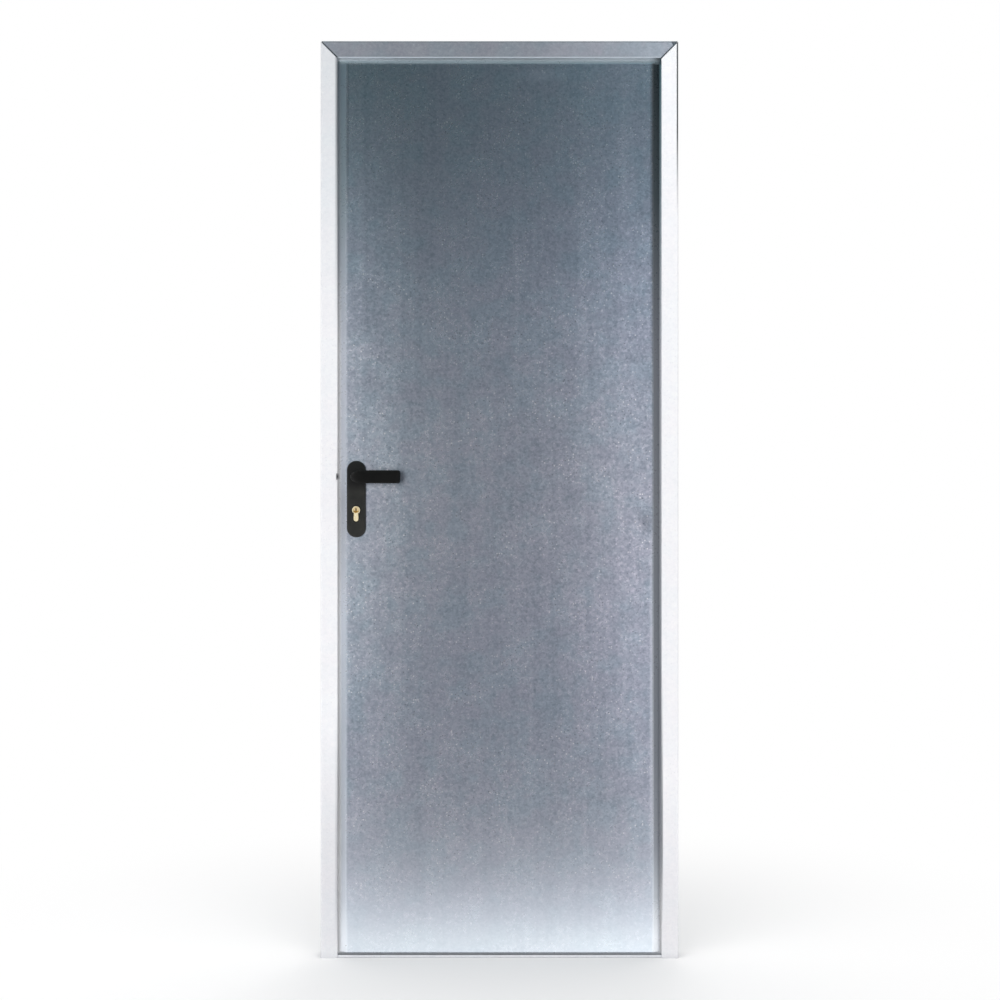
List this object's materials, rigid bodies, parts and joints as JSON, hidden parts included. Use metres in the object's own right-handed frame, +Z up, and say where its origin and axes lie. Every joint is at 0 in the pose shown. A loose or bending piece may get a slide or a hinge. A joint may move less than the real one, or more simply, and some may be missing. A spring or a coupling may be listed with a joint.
{
  "type": "steel utility door",
  "caption": "Flush galvanised steel utility door in a mitred folded frame, with a black lever set and a brass euro-profile cylinder.",
  "frame": {"origin": "middle of the threshold's underside, on the floor", "axes": "+X to the hinge side, +Y to the side the leaf opens to, +Z up"},
  "size_m": [0.78, 0.146, 2],
  "materials": {
    "galvanised_frame": "satin galvanised",
    "galvanised_head": "satin galvanised",
    "galvanised_leaf": "satin galvanised, fine spangle",
    "zinc_hardware": "bright zinc plate",
    "brass": "satin",
    "black_nylon": "matt"
  },
  "bodies": {
    "frame": {"jamb_left": "galvanised_frame", "jamb_right": "galvanised_frame", "head": "galvanised_head", "threshold": "galvanised_frame", "corner_cleat_left": "galvanised_frame", "corner_cleat_right": "galvanised_frame", "strike_keep": "galvanised_frame", "hinge_lower_frame": "zinc_hardware", "hinge_upper_frame": "zinc_hardware", "hinge_lower_washer": "brass", "hinge_upper_washer": "brass"},
    "leaf": {"hinge_lower_leaf": "zinc_hardware", "hinge_upper_leaf": "zinc_hardware", "front_skin": "galvanised_leaf", "rear_skin": "galvanised_leaf", "lock_forend": "zinc_hardware", "lock_case": "zinc_hardware", "latch_bolt": "zinc_hardware", "dead_bolt": "zinc_hardware", "cylinder_body": "brass", "cylinder_plug_front": "brass", "cylinder_plug_rear": "brass", "front_plate": "black_nylon", "rear_plate": "black_nylon"},
    "lever_set": {"front_lever": "black_nylon", "rear_lever": "black_nylon", "spindle": "zinc_hardware"}
  },
  "joints": [
    {"name": "leaf_swing", "type": "hinge", "parent": "frame", "child": "leaf", "pos_m": [0.37875, 0.02, 1], "axis": [0, 0, -1], "range_deg": [0, 110]},
    {"name": "lever_turn", "type": "hinge", "parent": "leaf", "child": "lever_set", "pos_m": [-0.312, -0.001, 1.049], "axis": [0, 1, 0], "range_deg": [0, 45], "stiffness_Nm_per_rad": 1.2, "springref_deg": -22.92}
  ]
}
